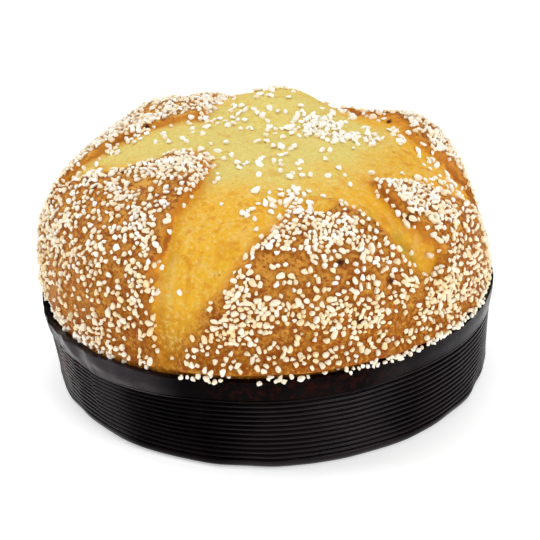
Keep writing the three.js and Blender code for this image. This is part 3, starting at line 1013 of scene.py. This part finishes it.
def flutedSheet(material):
    corner, ply = case["footCorner"], case["ply"]
    top = case["height"] - ply - case["clearance"]
    cornerR = crestRadius(corner) - corner
    backCornerR = flutedBackRadius(corner) - (corner - ply)
    points = [(case["flangeInner"], 0)]
    points += arcPoints(cornerR, corner, corner, -90, -12, 8)
    steps = int((top - corner) / case["flutePitch"] * case["flutePoints"])
    groove = [0.0] * len(points)
    for i in range(steps + 1):
        turn = i / case["flutePoints"]
        z = corner + turn * case["flutePitch"]
        groove.append((0.5 - 0.5 * math.cos(2 * math.pi * turn)) ** 1.4)
        points.append((crestRadius(z) - case["fluteDepth"] * groove[-1], z))
    z = points[-1][1]
    points += [(flutedBackRadius(z), z) for z in (z, *case["hiddenRows"])]
    points += arcPoints(backCornerR, corner, corner - ply, 0, -90, 5)
    points.append((case["flangeInner"], ply))
    groove += [case["backGroove"]] * (len(points) - len(groove))
    turnedSheet("case_fluted_sheet", points, material, "case_paper", ["case_fluted_wall"], groove)


def linerSheet(material):
    foot, ply, height = case["footCorner"], case["ply"], case["height"]
    cuffFoot = height - case["cuffHeight"]
    fold = ply * 0.9
    snug = 0.12  # between the cuff's edge and the flutes
    thin = 0.22  # the paper's edge at the foot of the cuff

    def inner(z):
        return linerRadius(z) - ply

    def cuffBack(z):
        return mix(crestRadius(z) + snug, wallRadius(z) - ply, fade(z, cuffFoot, height - 2))

    def cuffFace(z):
        return mix(cuffBack(z) + thin, wallRadius(z), fade(z, cuffFoot, height - 3))

    points = [(inner(foot), foot)]
    points += [(linerRadius(z), z) for z in (foot, *reversed(case["hiddenRows"]), height - ply)]
    points.append((wallRadius(height - ply) - ply, height - ply))
    points += [(cuffBack(z), z) for z in np.linspace(height - 2, cuffFoot, 8)]
    points += arcPoints(cuffBack(cuffFoot) + thin / 2, cuffFoot, thin / 2, 200, 350, 3)
    points += [(cuffFace(z), z) for z in np.linspace(cuffFoot + 0.4, height - fold, 12)]
    points += arcPoints(wallRadius(height) - fold, height - fold, fold, 20, 90, 4)
    points += arcPoints(inner(height) + fold, height - fold, fold, 100, 180, 4)
    points += [(inner(z), z) for z in case["hiddenRows"]]
    turnedSheet("case_liner_cuff", points, material, "case_paper", ["case_liner"])


def baseDisc(material):
    ply = case["ply"]
    stepUp = ply + case["clearance"]
    edge = flutedBackRadius(case["footCorner"]) - case["footCorner"]
    dish = case["flangeInner"] - case["clearance"] - 2
    points = [(0.2, 0), (dish * 0.5, 0), (dish, 0), (dish + 1.6, stepUp), (edge, stepUp)]
    points += [(edge, stepUp + ply), (dish + 1.2, stepUp + ply), (dish - 0.4, ply), (0.2, ply)]
    turnedSheet("case_base_disc", points, material, "base_paper", ["case_base"])


baseLook = {"dark": (0.016, 0.010, 0.008), "fibre": (0.035, 0.02, 0.014)}
paperLook = {
    "black": (0.0014, 0.0010, 0.0012),
    "brown": (0.0042, 0.0026, 0.0028),
    "red": (0.042, 0.006, 0.005),
    "crumb": (0.016, 0.003, 0.002),
    # a painted grey-violet sheen
    "paintedSheen": (0.020, 0.015, 0.018),
    "gloss": 0.16,  # on the crests of the flutes
    "grooveGloss": 0.015,
    "waxedShine": 1.05,
    "sheenPatchShine": 1.6,
    "plainShine": 0.22,
    "sheen": (1, 0.88, 0.92),
}


def paperMaterial():
    material, tree, shell = newMaterial("case_paper_dark")
    broad = grainNode(tree, 30, 3)
    fine = grainNode(tree, 1.2, 4, 0.6)
    colour = blend(tree, between(tree, broad, 0.4, 0.65), paperLook["black"], paperLook["brown"])
    blotchy = between(tree, grainNode(tree, 9, 4, 0.7), 0.4, 0.62)
    colour = blend(tree, times(tree, mask(tree, "thin"), blotchy), colour, paperLook["red"])
    specks = between(tree, grainNode(tree, 3.2, 5, 0.75, seed=3), 0.47, 0.62)
    specks = times(tree, mask(tree, "stain"), specks)
    colour = blend(tree, specks, colour, paperLook["crumb"])
    # on the cuff beside the seam a sheen is painted into the paper's colour, and its gloss is raised
    sheenPatch = mask(tree, "sheenPatch")
    sheenShare = times(tree, sheenPatch, between(tree, broad, 0.3, 0.6, 0.4, 1))
    colour = blend(tree, sheenShare, colour, paperLook["paintedSheen"])
    # glossy on the crests of the flutes, where it is waxed, and more so on the cuff beside the seam
    # where a sheen is also painted
    gloss, grooveGloss = paperLook["gloss"], paperLook["grooveGloss"]
    shine = between(tree, mask(tree, "groove"), 0, 0.7, gloss, grooveGloss)
    waxed = times(tree, mask(tree, "waxed"), paperLook["waxedShine"])
    waxed = plus(tree, waxed, times(tree, sheenPatch, paperLook["sheenPatchShine"]))
    waxed = plus(tree, waxed, paperLook["plainShine"])
    shell.inputs["Specular IOR Level"].default_value = 0.1  # what an export without the link shows
    looks = {
        "Base Color": colour,
        "Roughness": between(tree, broad, 0.35, 0.65, 0.2, 0.32),
        "Specular IOR Level": times(tree, shine, waxed),
        "Specular Tint": paperLook["sheen"],
    }
    finishShell(tree, shell, looks, fine, 0.1)
    return material


def baseMaterial():
    material, tree, shell = newMaterial("base_paper_dark")
    fibre = grainNode(tree, 3, 4, 0.65)
    colour = blend(tree, between(tree, fibre, 0.35, 0.7), baseLook["dark"], baseLook["fibre"])
    finishShell(tree, shell, {"Base Color": colour, "Roughness": 0.6}, fibre, 0.15)
    return material


paper = paperMaterial()
flutedSheet(paper)
linerSheet(paper)
baseDisc(baseMaterial())
print("case made")


studio = {
    "floor": (0.92, 0.92, 0.92),
    "glow": 0.42,  # the floor is a pale light table
    "farGlow": 1,
    "sky": 0.3,
    "horizon": 1,
    # azimuth, elevation, distance in metres, width, height, power
    "lamps": {
        "top_lamp": (95, 72, 1.5, 1.3, 1.3, 11.3),
        "right_lamp": (312, 34, 1.3, 0.6, 0.5, 6.6),
        "left_lamp": (180, 34, 1.3, 0.5, 0.5, 5.2),
    },
    "aim": (0, 0, 0.05),
}


def makeStudio():
    bpy.ops.mesh.primitive_plane_add(size=8, location=(0, 0, -0.0003))
    floor = bpy.context.object
    floor.name = "floor"
    material, tree, shell = newMaterial("floor_white")
    where = addNode(tree, "TexCoord", {}).outputs["Object"]
    length = addNode(tree, "VectorMath", {0: where}, operation="LENGTH").outputs["Value"]
    looks = {
        "Base Color": studio["floor"],
        "Roughness": 0.9,
        "Specular IOR Level": 0.1,
        "Emission Color": (1, 1, 1),
        "Emission Strength": between(tree, length, 0.5, 1.6, studio["glow"], studio["farGlow"]),
    }
    setSockets(tree, shell, looks)
    floor.data.materials.append(material)
    world = bpy.data.worlds.new("soft_sky")
    bpy.context.scene.world = world
    world.use_nodes = True
    tree = world.node_tree
    back = tree.nodes["Background"]
    way = addNode(tree, "TexCoord", {}).outputs["Generated"]
    rise = addNode(tree, "SeparateXYZ", {0: way}).outputs["Z"]
    light = between(tree, rise, 0.14, 0.3, studio["horizon"], studio["sky"])
    setSockets(tree, back, {"Color": (1, 1, 1), "Strength": light})
    for name, (azimuth, elevation, far, width, height, power) in studio["lamps"].items():
        a, e = math.radians(azimuth), math.radians(elevation)
        data = bpy.data.lights.new(name, "AREA")
        data.shape = "RECTANGLE"
        data.size, data.size_y, data.energy = width, height, power
        lamp = bpy.data.objects.new(name, data)
        level = far * math.cos(e)
        lamp.location = (level * math.cos(a), level * math.sin(a), far * math.sin(e))
        sight = Vector(studio["aim"]) - lamp.location
        lamp.rotation_euler = sight.to_track_quat("-Z", "Y").to_euler()
        bpy.context.scene.collection.objects.link(lamp)


shot = {
    "place": (0, -0.63, 0.3494),
    "down": 25.9,
    "roll": -2,
    "lens": 98.7,
    "shift": (0.002, 0.0052),
}


def makeCamera():
    data = bpy.data.cameras.new("camera")
    data.sensor_width = 36
    data.lens = shot["lens"]
    data.shift_x, data.shift_y = shot["shift"]
    data.clip_start = 0.02
    camera = bpy.data.objects.new("camera", data)
    tilt = Matrix.Rotation(math.radians(90 - shot["down"]), 4, "X")
    roll = Matrix.Rotation(math.radians(shot["roll"]), 4, "Z")
    camera.matrix_world = Matrix.Translation(shot["place"]) @ tilt @ roll
    bpy.context.scene.collection.objects.link(camera)
    bpy.context.scene.camera = camera


makeStudio()
makeCamera()
bpy.context.scene.view_settings.view_transform = "Standard"
bpy.context.scene.view_settings.look = "None"
print("studio ready")
